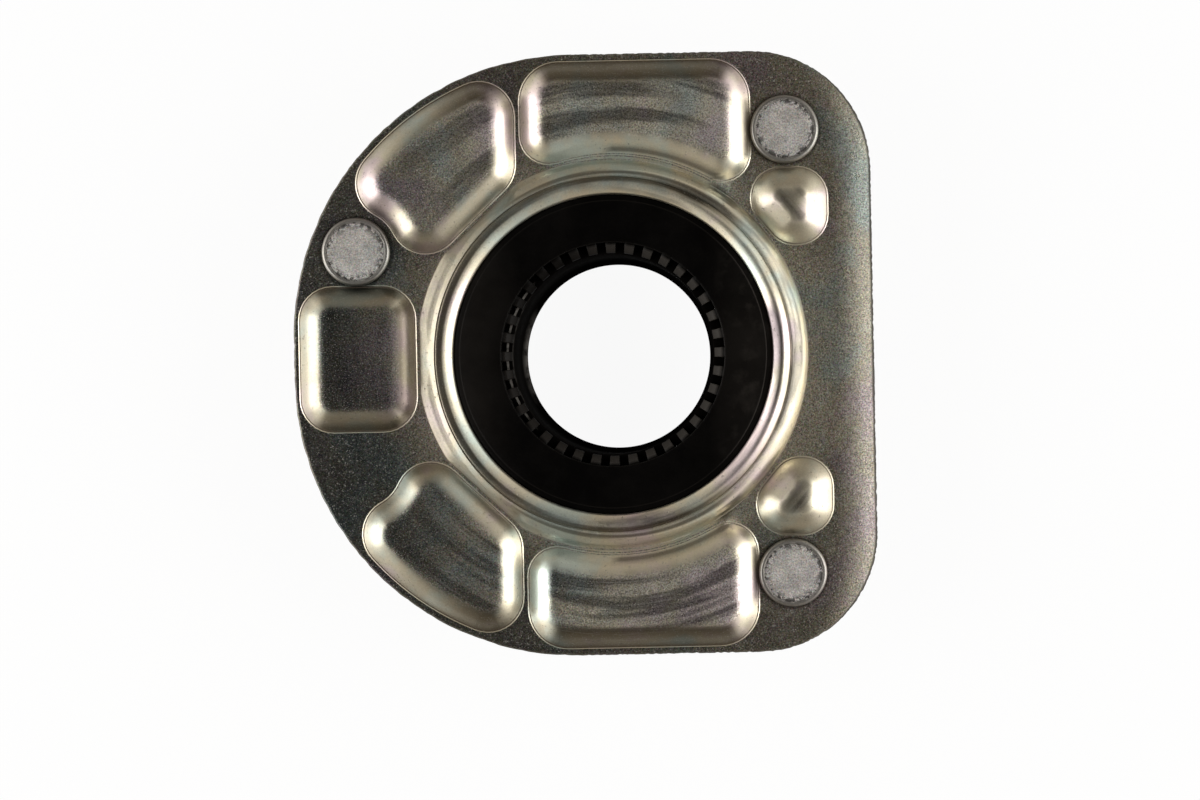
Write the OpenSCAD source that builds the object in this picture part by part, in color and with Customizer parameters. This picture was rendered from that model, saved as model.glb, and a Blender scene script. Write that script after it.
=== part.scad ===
// Strut top mount seen from its spring side: a pressed plate with soft raised pads, a rubber bush in a
// drawn cup, and three press-in studs that point away from the spring.
// Millimetres, +Z towards the spring. The origin is on the bore axis, in the face that meets the tower;
// the bush leans from the plate's normal by a few degrees.

/* [Plate] */
// Reach of the rounded side from the bore axis
plate_left = 83.1; // [82:0.1:95]
// Reach of the straight side from the bore axis
plate_right = 67.9; // [66.5:0.1:72]
// Half of the plate's width
plate_half = 78.2; // [77:0.2:85]
// Corner radius of the rounded side
left_corner_r = 73; // [71:0.5:75]
// Corner radius of the straight side
right_corner_r = 31; // [15:0.5:40]
// Thickness of the steel sheet
sheet = 2.5; // [1.5:0.1:3]

/* [Raised pads] */
// Height of a pad above the plate
pad_height = 4.5; // [3.5:0.25:5.5]
// Width of the soft shoulder round a pad
pad_shoulder = 6; // [5:0.25:6.5]
// Margin from a pad to the plate's edge
pad_margin = 2.2; // [1:0.1:4]
// Channel between a long pad and a slanted pad
pad_channel = 1.7; // [1:0.1:4]
// Reach of the long pads towards the rounded side
long_pad_left = 23.1; // [20:0.1:25]
// Gap between the end of a long pad and the stud head beside it
pad_stud_gap = 0.2; // [0.1:0.1:4]
// Corner radius of the long pads at the plate's edge
long_pad_outer_r = 10; // [7:0.5:11]
// Corner radius of the long pads beside the rim
long_pad_inner_r = 7.3; // [7:0.1:9]
// Ledge between the rim and the long pads
long_pad_ledge = 2.1; // [1:0.1:4]
// Ledge between the rim and the slanted pads
slant_pad_ledge = 0.5; // [0.5:0.1:3]
// Direction of the slanted pads' edge along the rim
slant_angle = 133.5; // [130:0.5:136]
// Corner radius of the slanted pads
slant_pad_r = 9; // [7:0.25:9]
// Reach of the end pad's near side from the bore axis
end_pad_near = 50; // [50:0.2:56]
// Margin from the end pad to the plate's edge
end_pad_margin = 1.7; // [1:0.1:6]
// Half of the end pad's width
end_pad_half = 18.7; // [12:0.1:18.8]
// Corner radius of the end pad
end_pad_r = 8.5; // [7:0.5:11]

/* [Bubbles] */
// Width of a bubble
bubble_w = 19.5; // [18:0.1:20]
// Length of a bubble
bubble_l = 19.8; // [19:0.1:21]
// Corner radius of a bubble
bubble_r = 7.6; // [7:0.1:7.8]
// Width of the corner that is cut off a bubble along the rim
bubble_cut_w = 7.6; // [5:0.1:8]
// Length of the corner that is cut off a bubble along the rim
bubble_cut_l = 9.2; // [6:0.1:9.5]
// Step from the end of the long pad to the bubble
bubble_step = 0.3; // [0.1:0.1:3]
// Gap between a bubble and the stud head beside it
bubble_gap = 1.1; // [0.5:0.1:3]

/* [Rim and cup] */
// Lean of the cup and the bush towards the rounded side
bush_lean = 3.5; // [0:0.5:4]
// Radius of the crease at the foot of the rim on the straight side
rim_r = 50; // [49.75:0.25:50]
// Height of the rim above the plate on the bore axis
rim_height = 4.5; // [4:0.25:6]
// Width of the rim's outer slope on the straight side
rim_slope = 3.5; // [2:0.25:3.5]
// Inside radius of the cup
cup_r = 41.5; // [38:0.25:41.5]
// Outer radius of the roll from the rim into the cup
roll_r = 2.75; // [2.6:0.05:3]
// Depth of the cup below the tower face
cup_depth = 23; // [15:0.5:25]
// Outer radius of the bend between the cup's wall and floor
floor_bend_r = 4; // [3:0.25:6]
// Radius of the hole in the cup's floor
cup_mouth_r = 35; // [32:0.5:36]

/* [Bush] */
// Drop from the top of the rim to the rubber's face
face_drop = 2; // [1:0.1:3]
// Radius of the sleeve's bore
bore_r = 26.1; // [25.5:0.1:27]
// Wall thickness of the sleeve
sleeve_wall = 2.9; // [1.5:0.1:3.5]
// Length of the ribs along the bore
rib_length = 3.5; // [2.5:0.25:10]
// Set-back of the ribs from the sleeve's bore
rib_setback = 0.3; // [0:0.1:1]
// Number of ribs
rib_count = 36; // [12:1:48]
// Width of a rib as a share of the pitch
rib_share = 0.53; // [0.3:0.01:0.7]
// Drop of the lead-in chamfer on the ribs
rib_chamfer = 1.2; // [0.5:0.1:2]
// Radius of the lip at the far end of the sleeve
lip_r = 24.8; // [20:0.1:25]
// Height of that lip
lip_height = 2.5; // [1:0.5:6]
// Reach of the sleeve past the cup
sleeve_reach = 4.5; // [3:0.5:12]
// Reach of the rubber past the cup
rubber_reach = 2.5; // [1:0.5:2.5]

/* [Studs] */
// Distance of the two studs beside the straight side from that side
stud_side_gap = 22.4; // [20:0.1:22.4]
// Distance of those two studs from the plate's long edges
stud_edge_gap = 20.6; // [19:0.1:21]
// Distance of the third stud from the end of the rounded side
third_stud_reach = 16.7; // [16:0.1:17]
// Gap between the third stud's head and the end pad
third_stud_gap = 0.3; // [0.2:0.1:1]
// Diameter of the thread
stud_d = 10; // [8:1:10]
// Length of the thread below the tower face
stud_length = 30; // [15:1:33]
// Diameter of the head
head_d = 17.8; // [14:0.2:18]
// Height of the head above the plate
head_height = 2; // [1.5:0.25:4]
// Radius of the head's edge
head_edge_r = 1; // [0.5:0.25:1.5]
// Diameter of the knurled collar that is pressed into the plate
collar_d = 11.2; // [10.5:0.1:13]
// Chamfer at the tip of the thread
tip_chamfer = 1.2; // [0.5:0.1:2]
// Clear ring between the third stud's head and the slanted pad
notch_gap = 2.2; // [1.5:0.1:2.5]

/* [Hidden] */
$fn = 96;
// Overlap of solids that are joined
lap = 0.1;
// Angle left straight between an arc and the corner next to it
arc_gap = 1;
// Depth by which a raised pad is rooted in the sheet
root = 1;
// Height of a shoulder's crest above the flat top that cuts it
crest = 0.05;
// Corners up to this radius round a pad's outline; a larger one is an edge of its own
corner_limit = 20;

// Radii of the soft shoulder on the spring side and on the hollow side of the sheet
soft_r = (pow(pad_shoulder, 2) + pow(pad_height, 2)) / (2 * pad_height);
hollow_r = soft_r - sheet;
left_centre = [left_corner_r - plate_left, plate_half - left_corner_r];
right_centre = [plate_right - right_corner_r, plate_half - right_corner_r];
rim_top = sheet + rim_height;
roll_centre = [cup_r + roll_r, rim_top - roll_r];
// The rim's outer slope: its upper edge, its lean, and where it ends below the plate, along the leaning axis
rim_edge = rim_r - rim_slope;
slope_foot = sheet - rim_r * sin(bush_lean);
slope_lean = rim_slope / (rim_top - slope_foot);
slope_end = slope_foot - 2 * sheet;
slope_end_r = rim_edge + slope_lean * (rim_top - slope_end);
floor_centre = [cup_r + sheet - floor_bend_r, floor_bend_r - cup_depth];
face_z = rim_top - face_drop;
rib_floor = face_z - rib_length;
sleeve_r = bore_r + sleeve_wall;
rib_r = bore_r + rib_setback;
sleeve_end = -cup_depth - sleeve_reach;
rubber_end = -cup_depth - rubber_reach;
stud_places = [
    [third_stud_reach - plate_left, end_pad_half + head_d / 2 + third_stud_gap],
    [plate_right - stud_side_gap, plate_half - stud_edge_gap],
    [plate_right - stud_side_gap, stud_edge_gap - plate_half]
];

function dir(a) = [cos(a), sin(a)];
function unit(v) = v / norm(v);
function corner(p, r) = [p[0], p[1], r];
// Distance from the origin of the tangent to a circle at angle a
function tangent(centre, r, a) = centre * dir(a) + r;
// Crossing of two lines, each given by the angle of its normal and its distance from the origin
function meet(a, d, b, e) = [d * sin(b) - e * sin(a), e * cos(a) - d * cos(b)] / sin(b - a);

// Outline of the long pad at the upper edge, counterclockwise: its inner edge follows the rim
long_arc_r = rim_r + long_pad_ledge;
long_pad_right = stud_places[1][0] - head_d / 2 - pad_stud_gap;
long_out = plate_half - pad_margin;
long_reach_r = long_arc_r + long_pad_inner_r;
long_a1 = acos((long_pad_right - long_pad_inner_r) / long_reach_r) + arc_gap;
long_a2 = acos((long_pad_inner_r - long_pad_left) / long_reach_r) - arc_gap;
long_pad = [
    corner(meet(long_a1, long_arc_r, 0, long_pad_right), long_pad_inner_r),
    corner([long_pad_right, long_out], long_pad_outer_r),
    corner([-long_pad_left, long_out], long_pad_outer_r),
    corner(meet(long_a2, long_arc_r, 180, long_pad_left), long_pad_inner_r),
    corner(meet(long_a1, long_arc_r, long_a2, long_arc_r), long_arc_r)
];

// Outline of the slanted pad: it follows the plate's corner and is notched round the third stud's head
slant_side = long_pad_left + pad_channel;
slant_edge = rim_r + slant_pad_ledge;
slant_arc_r = left_corner_r - pad_margin;
notch_r = head_d / 2 + notch_gap;
// Angles at which the two arcs of that outline start and end
slant_a1 = acos((-slant_side - slant_pad_r - left_centre[0]) / (slant_arc_r - slant_pad_r)) + arc_gap;
slant_a2 = 138;
notch_a1 = 27.5;
notch_a2 = 60;
slant_d1 = tangent(left_centre, slant_arc_r, slant_a1);
slant_d2 = tangent(left_centre, slant_arc_r, slant_a2);
notch_d1 = tangent(stud_places[0], notch_r, notch_a1);
notch_d2 = tangent(stud_places[0], notch_r, notch_a2);
slant_pad = [
    corner(meet(180 + notch_a1, -notch_d1, slant_angle, slant_edge), slant_pad_r),
    corner(meet(slant_angle, slant_edge, 180, slant_side), slant_pad_r),
    corner(meet(180, slant_side, slant_a1, slant_d1), slant_pad_r),
    corner(meet(slant_a1, slant_d1, slant_a2, slant_d2), slant_arc_r),
    corner(meet(slant_a2, slant_d2, notch_a2, notch_d2), slant_pad_r),
    corner(meet(notch_a1, notch_d1, notch_a2, notch_d2), notch_r)
];

// Outline of the end pad
end_pad_far = plate_left - end_pad_margin;
end_pad = [
    corner([-end_pad_far, -end_pad_half], end_pad_r),
    corner([-end_pad_near, -end_pad_half], end_pad_r),
    corner([-end_pad_near, end_pad_half], end_pad_r),
    corner([-end_pad_far, end_pad_half], end_pad_r)
];

// Outline of the bubble between the rim and the upper stud
bubble_top = stud_places[1][1] - head_d / 2 - bubble_gap;
bubble_low = bubble_top - bubble_l;
bubble_near = long_pad_right + bubble_step;
bubble_reach = bubble_near + bubble_w;
bubble = [
    corner([bubble_near + bubble_cut_w, bubble_low], bubble_r),
    corner([bubble_reach, bubble_low], bubble_r),
    corner([bubble_reach, bubble_top], bubble_r),
    corner([bubble_near, bubble_top], bubble_r),
    corner([bubble_near, bubble_low + bubble_cut_l], bubble_r)
];

// Round corner i of an outline: [arc centre, radius, 1 outside or -1 inside, first angle, turn, start, end]
function fillet(points, i) =
    let (n = len(points), p = points[i], before = points[(i + n - 1) % n], after = points[(i + 1) % n],
         here = [p[0], p[1]], r = p[2],
         in = unit(here - [before[0], before[1]]), out = unit([after[0], after[1]] - here),
         turn = atan2(in[0] * out[1] - in[1] * out[0], in * out), side = sign(turn),
         reach = r * tan(abs(turn) / 2), start = here - reach * in, end = here + reach * out,
         centre = start + side * r * [-in[1], in[0]],
         first = side > 0 ? atan2(-in[0], in[1]) : atan2(out[0], -out[1]))
    [centre, r, side, first, abs(turn), start, end];

// Ends of round corner i, moved outwards; a large corner keeps its point, which its edge then cuts
function corner_ends(points, i, grow) =
    let (f = fillet(points, i), r = f[1] + f[2] * grow, first = dir(f[3]), last = dir(f[3] + f[4]))
    f[2] < 0 ? [f[0] + r * last, f[0] + r * first]
    : f[1] > corner_limit ? [[points[i][0], points[i][1]]]
    : [f[0] + r * first, f[0] + r * last];

// A corner that only rounds the outline of a pad
function is_small(f) = f[2] > 0 && f[1] <= corner_limit;

// Section through an edge of a pad: a round shoulder, and flat beyond it
module soft_section(r, reach) {
    centre = pad_height + crest - r;
    low = min(-root - lap - centre, 0);
    translate([pad_shoulder, centre]) difference() {
        translate([-r, low]) square([r + reach, r - low]);
        difference() {
            translate([-r - lap, 0]) square(r + lap);
            circle(r);
        }
    }
}

// A soft-edged pad: its outline, cut by a soft shoulder along each edge
module pillow(points, r) {
    count = len(points);
    grow = min(r - pad_shoulder, 0) + lap;
    span = 2 * plate_half;
    intersection() {
        translate([0, 0, -root]) linear_extrude(pad_height + root) {
            polygon([for (i = [0 : count - 1]) each corner_ends(points, i, grow)]);
            for (i = [0 : count - 1]) {
                f = fillet(points, i);
                if (is_small(f)) translate(f[0]) circle(f[1] + grow);
            }
        }
        intersection_for (i = [0 : count - 1]) {
            f = fillet(points, i);
            next = fillet(points, (i + 1) % count);
            edge = next[5] - f[6];
            if (f[2] < 0) translate(f[0]) rotate_extrude() translate([f[1], 0]) soft_section(r, span);
            else if (f[1] > corner_limit) translate(f[0]) rotate_extrude()
                translate([f[1], 0]) mirror([1, 0]) soft_section(r, f[1] - pad_shoulder - lap);
            else if (is_small(next)) translate(f[6]) rotate(atan2(edge[1], edge[0]))
                translate([-span, 0, 0]) rotate([90, 0, 90]) linear_extrude(2 * span) soft_section(r, span);
            else translate([-span, -span, -root - lap]) cube(2 * span);
        }
    }
}

// All raised pads, or the hollows behind them
module pads(r) {
    for (side = [0, 1]) mirror([0, side, 0]) {
        pillow(long_pad, r);
        pillow(slant_pad, r);
        pillow(bubble, r);
    }
    pillow(end_pad, r);
}

module plate_outline() {
    polygon([
        [-plate_left, left_centre[1]], [-plate_left, -left_centre[1]],
        [left_centre[0], -plate_half], [right_centre[0], -plate_half],
        [plate_right, -right_centre[1]], [plate_right, right_centre[1]],
        [right_centre[0], plate_half], [left_centre[0], plate_half]
    ]);
    for (side = [-1, 1]) {
        translate([left_centre[0], side * left_centre[1]]) circle(left_corner_r);
        translate([right_centre[0], side * right_centre[1]]) circle(right_corner_r);
    }
}

// A quarter of a bent sheet about the origin, in the upper left
module bend(r) {
    intersection() {
        difference() {
            circle(r);
            circle(r - sheet);
        }
        translate([-r - lap, 0]) square(r + lap);
    }
}

// Section of the sheet from the rim's top down the cup to its mouth
module cup_section() {
    wall = roll_centre[1] - floor_centre[1];
    floor_w = floor_centre[0] - cup_mouth_r;
    translate(roll_centre) {
        bend(roll_r);
        translate([0, roll_r - sheet]) square([2 * lap, sheet]);
        translate([-roll_r, -wall]) square([sheet, wall]);
    }
    translate(floor_centre) {
        rotate(180) bend(floor_bend_r);
        translate([-floor_w, -floor_bend_r]) square([floor_w, sheet]);
    }
}

// Section of the rim's top and of its outer slope, run on past the plate
module slope_section() {
    width = sheet * sqrt(1 + pow(slope_lean, 2));
    polygon([
        [roll_centre[0] + lap, rim_top], [rim_edge, rim_top], [slope_end_r, slope_end],
        [slope_end_r - width, slope_end], [rim_edge + slope_lean * sheet - width, rim_top - sheet],
        [roll_centre[0] + lap, rim_top - sheet]
    ]);
}

// Stands its children on the leaning axis of the bush
module leaning() {
    rotate([0, -bush_lean, 0]) children();
}

module mounting_plate() {
    color("#9a9a92") difference() {
        union() {
            difference() {
                linear_extrude(sheet) plate_outline();
                leaning() rotate_extrude() polygon([
                    [0, slope_end], [slope_end_r - lap, slope_end], [rim_edge - lap, rim_top], [0, rim_top]
                ]);
            }
            intersection() {
                leaning() rotate_extrude() slope_section();
                cylinder(r = 2 * rim_r, h = 2 * rim_top);
            }
            leaning() rotate_extrude() cup_section();
            translate([0, 0, sheet]) pads(soft_r);
        }
        pads(hollow_r);
        for (p = stud_places) translate([p[0], p[1], -lap]) cylinder(d = collar_d, h = sheet + 2 * lap);
    }
}

// The rubber fills the cup round the sleeve, and its ribs stand on the sleeve's end
module rubber_bush() {
    rib_angle = rib_share * 360 / rib_count;
    color("#1d1a18") leaning() {
        rotate_extrude() difference() {
            polygon([
                [sleeve_r, face_z], [cup_r + lap, face_z], [cup_r + lap, floor_centre[1]],
                [floor_centre[0], sheet - cup_depth - lap], [cup_mouth_r, sheet - cup_depth - lap],
                [cup_mouth_r, rubber_end], [sleeve_r, rubber_end]
            ]);
            cup_section();
        }
        for (i = [0 : rib_count - 1])
            rotate_extrude(start = 360 / rib_count * i - rib_angle / 2, angle = rib_angle) polygon([
                [rib_r, rib_floor], [sleeve_r + lap, rib_floor], [sleeve_r + lap, face_z - lap],
                [sleeve_r - lap, face_z - lap], [rib_r, face_z - rib_chamfer]
            ]);
    }
}

module inner_sleeve() {
    color("#4a4744") leaning() rotate_extrude() polygon([
        [bore_r, rib_floor], [sleeve_r, rib_floor], [sleeve_r, sleeve_end], [lip_r, sleeve_end],
        [lip_r, sleeve_end + lip_height], [bore_r, sleeve_end + lip_height + bore_r - lip_r]
    ]);
}

// A press-in stud on its own axis: round head, knurled collar in the sheet, plain thread
module stud() {
    head_r = head_d / 2;
    head_top = sheet + head_height;
    color("#b4b3b0") rotate_extrude() difference() {
        polygon([
            [0, head_top], [0, -stud_length], [stud_d / 2 - tip_chamfer, -stud_length],
            [stud_d / 2, tip_chamfer - stud_length], [stud_d / 2, 0], [collar_d / 2, 0],
            [collar_d / 2, sheet], [head_r, sheet], [head_r, head_top]
        ]);
        translate([head_r - head_edge_r, head_top - head_edge_r]) difference() {
            square(head_edge_r + lap);
            circle(head_edge_r);
        }
    }
}

module stud_at(i) {
    translate([stud_places[i][0], stud_places[i][1], 0]) stud();
}

mounting_plate();
rubber_bush();
inner_sleeve();
stud_at(0);  // stud_left
stud_at(1);  // stud_upper
stud_at(2);  // stud_lower
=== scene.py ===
import bpy
import bmesh
import random
from math import atan2, cos, degrees, hypot, pi, radians, sin, tan
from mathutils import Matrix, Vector


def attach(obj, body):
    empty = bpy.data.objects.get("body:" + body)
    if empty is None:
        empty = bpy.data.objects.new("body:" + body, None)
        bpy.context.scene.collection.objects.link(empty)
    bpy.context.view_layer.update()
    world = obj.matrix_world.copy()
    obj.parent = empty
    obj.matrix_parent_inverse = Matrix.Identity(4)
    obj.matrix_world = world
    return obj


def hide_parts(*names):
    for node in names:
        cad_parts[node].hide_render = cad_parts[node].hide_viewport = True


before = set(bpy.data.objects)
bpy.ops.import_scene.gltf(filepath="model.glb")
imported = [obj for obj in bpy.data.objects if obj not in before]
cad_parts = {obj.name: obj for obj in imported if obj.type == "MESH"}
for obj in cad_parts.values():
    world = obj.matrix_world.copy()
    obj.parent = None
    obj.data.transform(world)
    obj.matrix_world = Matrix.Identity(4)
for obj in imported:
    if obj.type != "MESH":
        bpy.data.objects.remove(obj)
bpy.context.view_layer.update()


# The plate: a blank of steel sheet, pressed in one go. Soft pads and two bubbles stand up from it to stiffen
# it, a rim rises round the bush, and the cup that holds the rubber is drawn down from that rim. It is zinc
# plated after pressing, so the plating covers its creases, and only the sheared edge looks rougher.
MM = 0.001  # sizes here are in millimetres, and Blender's are in metres
SHEET = 2.5
PLATE_LEFT, PLATE_RIGHT, PLATE_HALF = 83.1, 67.9, 78.2
LEFT_CORNER, RIGHT_CORNER = 73.0, 31.0
PAD_HEIGHT = 4.5
LONG_LEFT, LONG_RIGHT, LONG_TOP = -23.1, 36.4, 76.0
LONG_OUTER_R, LONG_INNER_R = 10.0, 7.3
VALLEY_R, VALLEY_FROM, VALLEY_TO = 52.1, 61.7, 104.4
SLANT_ANGLE, SLANT_INNER, SLANT_SIDE, SLANT_R = 133.5, 50.5, 24.8, 9.0
SLANT_ARC_R, SLANT_ARC_ANGLES = 70.8, (113.55, 138)
NOTCH_R, NOTCH_ANGLES = 11.1, (27.5, 60)
END_LEFT, END_RIGHT, END_HALF, END_R = -81.4, -51.5, 18.7, 8.5
BUBBLE_R, BUBBLE_HEIGHT, BUBBLE_HOLLOW, BUBBLE_REACH = 7.6, 4.7, 4.3, 8.6
LEDGE_HEIGHT, LEDGE_REACH = 1.0, (52.3, 54.5)
LEDGE_START, LEDGE_END = (46, 61), (95, 109)
LEAN = radians(3.5)
STUDS = [(-66.4, 27.9), (45.5, 57.6), (45.5, -57.6)]
COLLAR_R, HOLE_BORDER, HOLE_POINTS = 5.6, 6.2, 40
SMALLEST_R = 0.05


def leaning(r, angle, w):
    """A point round the bush's axis, which leans towards the plate's rounded side."""
    x, y = r * cos(angle), r * sin(angle)
    return (x * cos(LEAN) - w * sin(LEAN), y, x * sin(LEAN) + w * cos(LEAN))


def corner_arcs(corners):
    """The round corners of an outline given as (x, y, radius): centre, radius, side, first angle and turn."""
    arcs = []
    for i, (x, y, r) in enumerate(corners):
        before = Vector(corners[i - 1][:2])
        here = Vector((x, y))
        after = Vector(corners[(i + 1) % len(corners)][:2])
        into = (here - before).normalized()
        out = (after - here).normalized()
        turn = atan2(into.x * out.y - into.y * out.x, into.dot(out))
        side = 1 if turn > 0 else -1
        start = here - r * tan(abs(turn) / 2) * into
        centre = start + side * r * Vector((-into.y, into.x))
        first = atan2(start.y - centre.y, start.x - centre.x)
        arcs.append((centre, r, side, first, turn))
    return arcs


def towards(angle):
    return Vector((cos(angle), sin(angle)))


def outline(corners, inset=0.0, step=1.6, run=4.0):
    """Points round an outline, moved inwards; every inset of one outline has the same number of points."""
    arcs = corner_arcs(corners)
    points = []
    for i, (centre, r, side, first, turn) in enumerate(arcs):
        steps = max(6, round(abs(turn) * min(r, 30) / step), round(abs(turn) * r / 3.0))
        near = max(r - side * inset, SMALLEST_R)
        arc = [centre + near * towards(first + turn * k / steps) for k in range(steps + 1)]
        next_centre, next_r, next_side, next_first, _ = arcs[(i + 1) % len(arcs)]
        begin = next_centre + max(next_r - next_side * inset, SMALLEST_R) * towards(next_first)
        bare_end = centre + r * towards(first + turn)
        bare_begin = next_centre + next_r * towards(next_first)
        cuts = int((bare_begin - bare_end).length / run)
        points += arc
        points += [arc[-1].lerp(begin, (k + 1) / (cuts + 1)) for k in range(cuts)]
    return points


def circle(x, y, r, z, count):
    return [(x + r * cos(2 * pi * k / count), y + r * sin(2 * pi * k / count), z) for k in range(count)]


def mirrored(corners):
    return [(x, -y, r) for x, y, r in reversed(corners)]


def deselect():
    if bpy.context.object and bpy.context.object.mode != "OBJECT":
        bpy.ops.object.mode_set(mode="OBJECT")
    bpy.ops.object.select_all(action="DESELECT")


def key(point):
    return tuple(round(c, 7) for c in point)


def lay(mesh, points):
    """Lays the selected vertices, which still lie on the last ring, on the points of the next ring."""
    shape = bmesh.from_edit_mesh(mesh)
    for vertex in shape.verts:
        if vertex.select:
            vertex.co = points[key(vertex.co)]
    bmesh.update_edit_mesh(mesh)


def loft(name, rings, cap=False, lid="NOTHING", **marks):
    """A skin over rings of points in millimetres: a circle laid on the first ring and extruded to each next
    one. Each mark is an attribute with a value for every ring."""
    deselect()
    count = len(rings[0])
    bpy.ops.mesh.primitive_circle_add(vertices=count, radius=1, fill_type=lid)
    piece = bpy.context.object
    piece.name = piece.data.name = name
    bpy.ops.object.mode_set(mode="EDIT")
    bpy.ops.mesh.select_all(action="SELECT")
    rings = [[Vector(p) * MM for p in ring] for ring in rings]
    shape = bmesh.from_edit_mesh(piece.data)
    shape.verts.ensure_lookup_table()
    for i in range(count):
        shape.verts[i].co = rings[0][i]
    bmesh.update_edit_mesh(piece.data)
    for last, ring in zip(rings, rings[1:]):
        bpy.ops.mesh.extrude_edges_indiv()
        lay(piece.data, {key(old): new for old, new in zip(last, ring)})
    if cap:
        bpy.ops.mesh.fill()
    bpy.ops.object.mode_set(mode="OBJECT")
    for mark, values in marks.items():
        layer = piece.data.attributes.new(mark, "FLOAT", "POINT")
        layer.data.foreach_set("value", [values[i // count] for i in range(len(piece.data.vertices))])
    return piece


def smooth(low, high, value):
    t = min(max((value - low) / (high - low), 0), 1)
    return t * t * (3 - 2 * t)


def ledge(x, y):
    """Height of the valley floor where the slopes of the rim and of a long pad run into each other."""
    a = degrees(atan2(abs(y), x))
    along_valley = smooth(*LEDGE_START, a) * (1 - smooth(*LEDGE_END, a))
    return LEDGE_HEIGHT * along_valley * (1 - smooth(*LEDGE_REACH, hypot(x, y)))


def line(angle, distance):
    """A line by the angle of its normal and its distance from the bore."""
    return radians(angle), distance


def meet(first, second, r):
    """The corner at which two lines meet, with its radius."""
    (a, d), (b, e) = first, second
    k = sin(b - a)
    return ((d * sin(b) - e * sin(a)) / k, (e * cos(a) - d * cos(b)) / k, r)


def tangent(centre, r, angle):
    a = radians(angle)
    return a, centre[0] * cos(a) + centre[1] * sin(a) + r


left_centre = (LEFT_CORNER - PLATE_LEFT, PLATE_HALF - LEFT_CORNER)
plate_corners = [
    (PLATE_RIGHT, -PLATE_HALF, RIGHT_CORNER), (PLATE_RIGHT, PLATE_HALF, RIGHT_CORNER),
    (-PLATE_LEFT, PLATE_HALF, LEFT_CORNER), (-PLATE_LEFT, -PLATE_HALF, LEFT_CORNER)]
inner_right, inner_left = line(VALLEY_FROM, VALLEY_R), line(VALLEY_TO, VALLEY_R)
long_pad = [
    meet(inner_right, line(0, LONG_RIGHT), LONG_INNER_R), (LONG_RIGHT, LONG_TOP, LONG_OUTER_R),
    (LONG_LEFT, LONG_TOP, LONG_OUTER_R), meet(inner_left, line(180, -LONG_LEFT), LONG_INNER_R),
    meet(inner_right, inner_left, VALLEY_R)]
slant_edge, slant_side = line(SLANT_ANGLE, SLANT_INNER), line(180, SLANT_SIDE)
outer_start, outer_end = (tangent(left_centre, SLANT_ARC_R, angle) for angle in SLANT_ARC_ANGLES)
notch_start, notch_end = (tangent(STUDS[0], NOTCH_R, angle) for angle in NOTCH_ANGLES)
slant_pad = [
    meet(notch_start, slant_edge, SLANT_R), meet(slant_edge, slant_side, SLANT_R),
    meet(slant_side, outer_start, SLANT_R), meet(outer_start, outer_end, SLANT_ARC_R),
    meet(outer_end, notch_end, SLANT_R), meet(notch_start, notch_end, NOTCH_R)]
end_pad = [
    (END_LEFT, -END_HALF, END_R), (END_RIGHT, -END_HALF, END_R),
    (END_RIGHT, END_HALF, END_R), (END_LEFT, END_HALF, END_R)]
bubble = [(x, y, BUBBLE_R) for x, y in ((44.3, 27.8), (56.2, 27.8), (56.2, 47.6), (36.7, 47.6), (36.7, 37.0))]

# Inset, height and painted crease shade of the rings from the foot of a pad to its top: a fine step that the
# die has left round it, a narrow shelf, a plain slope and a wide roll. Then the rings of the hollow behind
# it.
PAD_RINGS = [
    (-0.62, 0, 0), (-0.5, 0, 0.15), (-0.42, 0.01, 0.3), (-0.3, 0.1, 0), (-0.2, 0.18, 0), (-0.12, 0.21, 0.7),
    (0.06, 0.22, 1), (0.15, 0.26, 0.5), (0.3, 0.41, 0.1), (0.8, 0.97, 0), (1.4, 1.64, 0), (2, 2.28, 0),
    (2.55, 2.8, 0), (3.1, 3.23, 0), (3.7, 3.62, 0), (4.3, 3.93, 0), (4.9, 4.17, 0), (5.5, 4.34, 0),
    (6.1, 4.45, 0), (6.7, 4.5, 0), (7.3, 4.53, 0)]
HOLLOW_RINGS = [
    (0.9, 0), (1.05, 0), (1.4, 0.06), (1.75, 0.25), (2.0, 0.55), (2.17, 0.95), (2.25, 1.4), (2.45, 2.1),
    (2.85, 2.85), (3.45, 3.5), (4.2, 3.97), (5.1, 4.28), (6, 4.38), (6.8, 4.4)]


def raised(corners, rings, base):
    """Rings of a pad or a hollow over its outline. On the spring side the foot rises with the valley."""
    stack = []
    for d, h, *_ in rings:
        share = (1 - h / PAD_HEIGHT) * (base > 0)
        stack.append([(p.x, p.y, base + h + ledge(p.x, p.y) * share) for p in outline(corners, d)])
    return stack


def domed(corners, base, depth):
    """Rings of a bubble: a creased foot, then walls that bend over evenly and close in a small round top."""
    foot = PAD_RINGS[:9] if base > 0 else HOLLOW_RINGS[:5]
    start, low = foot[-1][0], foot[-1][1]
    span = BUBBLE_REACH - start
    steps = [(start + d, low + (depth - low) * (1 - (1 - d / span) ** 2))
             for d in (0.5, 1.1, 1.7, 2.3, 2.9, 3.5, 4.1, 4.6, 5.1)]
    rings = raised(corners, foot + steps, base)
    last = rings[-1]
    middle = sum((Vector(p[:2]) for p in last), Vector((0, 0))) / len(last)
    spokes = [Vector(p[:2]) - middle for p in last]
    mean = sum(spoke.length for spoke in spokes) / len(spokes)
    edge = steps[-1][1]
    for share in (0.86, 0.7, 0.54, 0.38, 0.22, 0.07):
        h = edge + (depth - edge) * (1 - share ** 2)
        ring = []
        for spoke in spokes:
            rounder = 1 + (mean / spoke.length - 1) * (1 - share)
            ring.append((*(middle + spoke * share * rounder), base + h))
        rings.append(ring)
    return rings


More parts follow.
